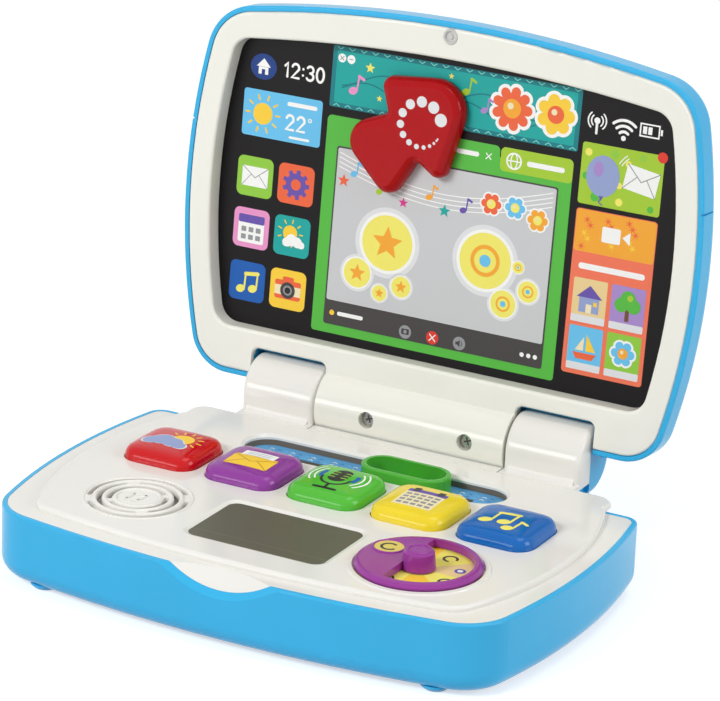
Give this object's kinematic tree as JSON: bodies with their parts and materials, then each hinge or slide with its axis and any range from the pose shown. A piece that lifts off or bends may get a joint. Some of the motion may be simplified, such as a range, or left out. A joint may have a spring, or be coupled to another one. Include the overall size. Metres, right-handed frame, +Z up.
{
  "type": "toy laptop computer",
  "caption": "Child's toy laptop with a hinged lid, printed screen, turning arrow cursor, press buttons, sliding ring, turning dial and speaker grille on a bowed two-tone case.",
  "frame": {"origin": "middle of the overall box at ground level, on the underside of the feet", "axes": "+X to the user's right, +Y to the rear where the hinge is, +Z up"},
  "size_m": [0.2664, 0.2184, 0.235],
  "materials": {
    "blue_shell": "satin moulded blue",
    "white_shell": "gloss warm white",
    "display_grey": "smoked display window",
    "tray_grey": "dark moulded tray",
    "wave_card": "printed card",
    "dial_print": "printed card",
    "screen_print": "printed screen insert",
    "lens_black": "gloss black",
    "cursor_red": "satin red",
    "red_button": "gloss red",
    "purple_button": "gloss purple",
    "green_button": "gloss green",
    "yellow_button": "gloss yellow",
    "blue_button": "gloss blue",
    "slider_green": "gloss green",
    "dial_purple": "gloss purple",
    "dark_plastic": "dark moulded plastic",
    "board_green": "circuit board",
    "mat_grey": "contact rubber",
    "cell_silver": "battery sleeve",
    "spring_steel": "plated strip",
    "screw_zinc": "zinc plated"
  },
  "bodies": {
    "base": {"base_tub": "blue_shell", "deck_cover": "white_shell", "display_window": "display_grey", "slider_tray": "tray_grey", "slider_card": "wave_card", "dial_card": "dial_print", "speaker": "dark_plastic", "main_board": "board_green", "button_mat": "mat_grey", "batteries": "cell_silver", "battery_contacts": "spring_steel", "battery_door": "blue_shell", "battery_door_screw": "screw_zinc", "case_screws": "screw_zinc"},
    "lid": {"lid_bezel": "white_shell", "lid_back": "blue_shell", "screen_panel": "screen_print", "camera_lens": "lens_black", "hinge_pins": "spring_steel", "barrel_screws": "screw_zinc", "lid_screws": "screw_zinc"},
    "cursor": {"cursor_knob": "cursor_red", "cursor_shaft": "dark_plastic", "cursor_clip": "dark_plastic"},
    "dial": {"dial_wheel": "dial_purple", "dial_clip": "dark_plastic"},
    "slider": {"slider_ring": "slider_green", "slider_carriage": "dark_plastic"},
    "weather_key": {"weather_button": "red_button"},
    "mail_key": {"mail_button": "purple_button"},
    "voice_key": {"voice_button": "green_button"},
    "calendar_key": {"calendar_button": "yellow_button"},
    "music_key": {"music_button": "blue_button"}
  },
  "joints": [
    {"name": "lid_hinge", "type": "hinge", "parent": "base", "child": "lid", "pos_m": [0, 0.08131, 0.0448], "axis": [1, 0, 0], "range_deg": [0, 95.4]},
    {"name": "cursor_turn", "type": "hinge", "parent": "lid", "child": "cursor", "pos_m": [-0.0112, 0.09657, 0.18499], "axis": [0, -0.9955, 0.0948], "range_deg": [-30, 30]},
    {"name": "dial_turn", "type": "hinge", "parent": "base", "child": "dial", "pos_m": [0.0709, -0.05779, 0.04], "axis": [0, 0, 1], "continuous": true},
    {"name": "slider_slide", "type": "slide", "parent": "base", "child": "slider", "axis": [1, 0, 0], "range_m": [-0.0612, 0.028]},
    {"name": "weather_press", "type": "slide", "parent": "base", "child": "weather_key", "axis": [0, 0, -1], "range_m": [0, 0.0025], "stiffness_N_per_m": 400, "springref_m": -0.002},
    {"name": "mail_press", "type": "slide", "parent": "base", "child": "mail_key", "axis": [0, 0, -1], "range_m": [0, 0.0025], "stiffness_N_per_m": 400, "springref_m": -0.002},
    {"name": "voice_press", "type": "slide", "parent": "base", "child": "voice_key", "axis": [0, 0, -1], "range_m": [0, 0.0025], "stiffness_N_per_m": 400, "springref_m": -0.002},
    {"name": "calendar_press", "type": "slide", "parent": "base", "child": "calendar_key", "axis": [0, 0, -1], "range_m": [0, 0.0025], "stiffness_N_per_m": 400, "springref_m": -0.002},
    {"name": "music_press", "type": "slide", "parent": "base", "child": "music_key", "axis": [0, 0, -1], "range_m": [0, 0.0025], "stiffness_N_per_m": 400, "springref_m": -0.002}
  ]
}
